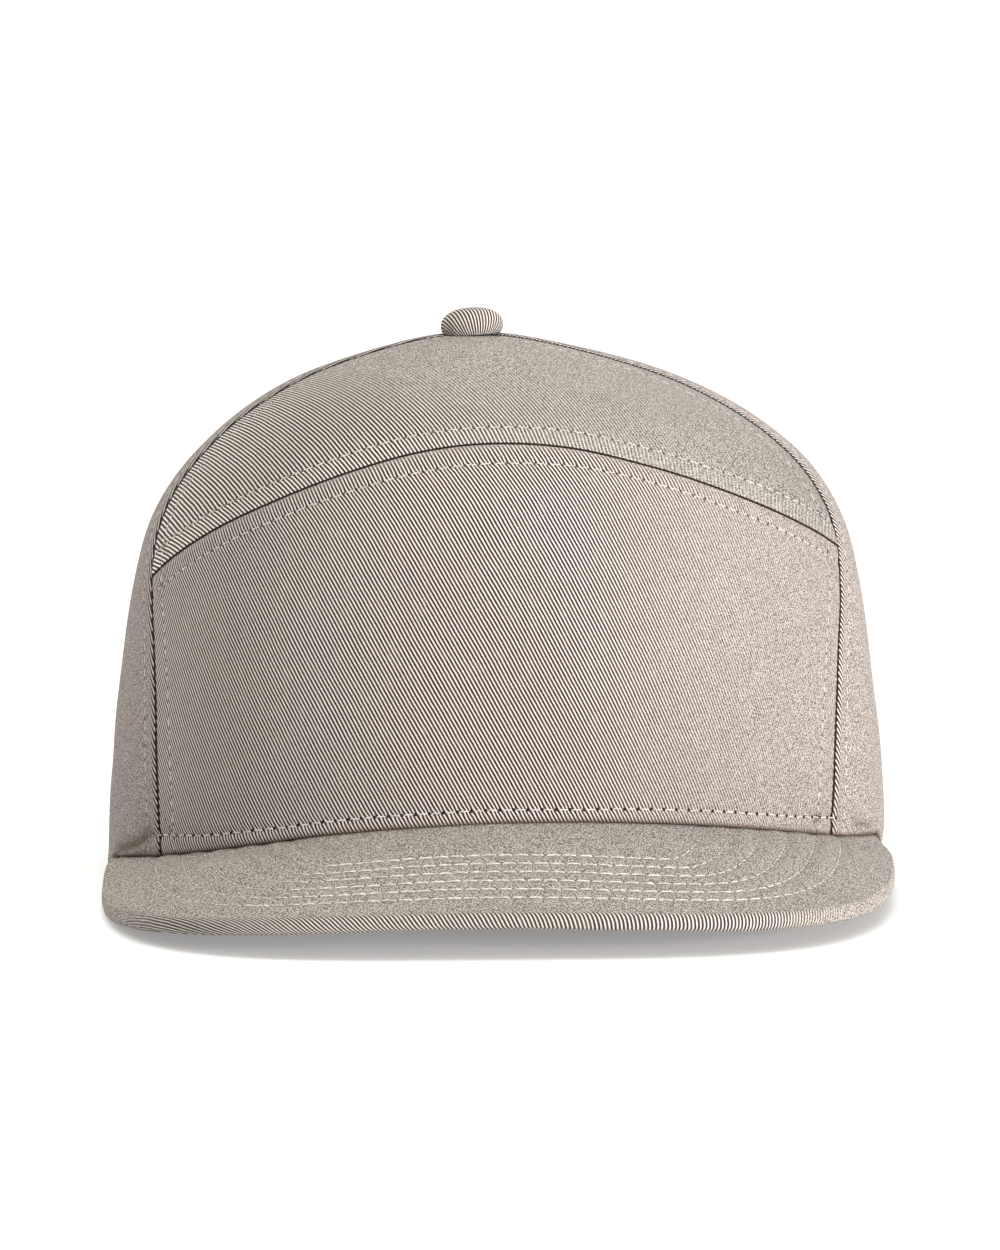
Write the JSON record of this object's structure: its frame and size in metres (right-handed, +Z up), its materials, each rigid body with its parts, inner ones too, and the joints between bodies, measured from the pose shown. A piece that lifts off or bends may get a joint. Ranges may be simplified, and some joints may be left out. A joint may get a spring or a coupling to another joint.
{
  "type": "flat bill cap",
  "caption": "High-crowned structured twill cap with an arched seam across the front, a flat stitched bill and a cloth-covered button; worn on the head as a sun cap.",
  "frame": {"origin": "centre of the cap's box in plan, at the height of the surface that its rim rests on", "axes": "+Z up through the button, -Y the way the bill points, +X to the wearer's left"},
  "size_m": [0.1895, 0.2622, 0.1355],
  "materials": {
    "crown_twill": "stone cotton twill with raised diagonal ribs",
    "bill_twill": "stone cotton twill over a flat board, with rows of stitching",
    "under_twill": "stone cotton twill, plain",
    "button_twill": "stone cotton twill drawn over a button"
  },
  "bodies": {
    "root": {"front_panel": "crown_twill", "upper_front_panel": "crown_twill", "side_panel_left": "crown_twill", "side_panel_right": "crown_twill", "back_panel_left": "crown_twill", "back_panel_right": "crown_twill", "bill_top": "bill_twill", "bill_underside": "under_twill", "top_button": "button_twill"}
  },
  "joints": []
}
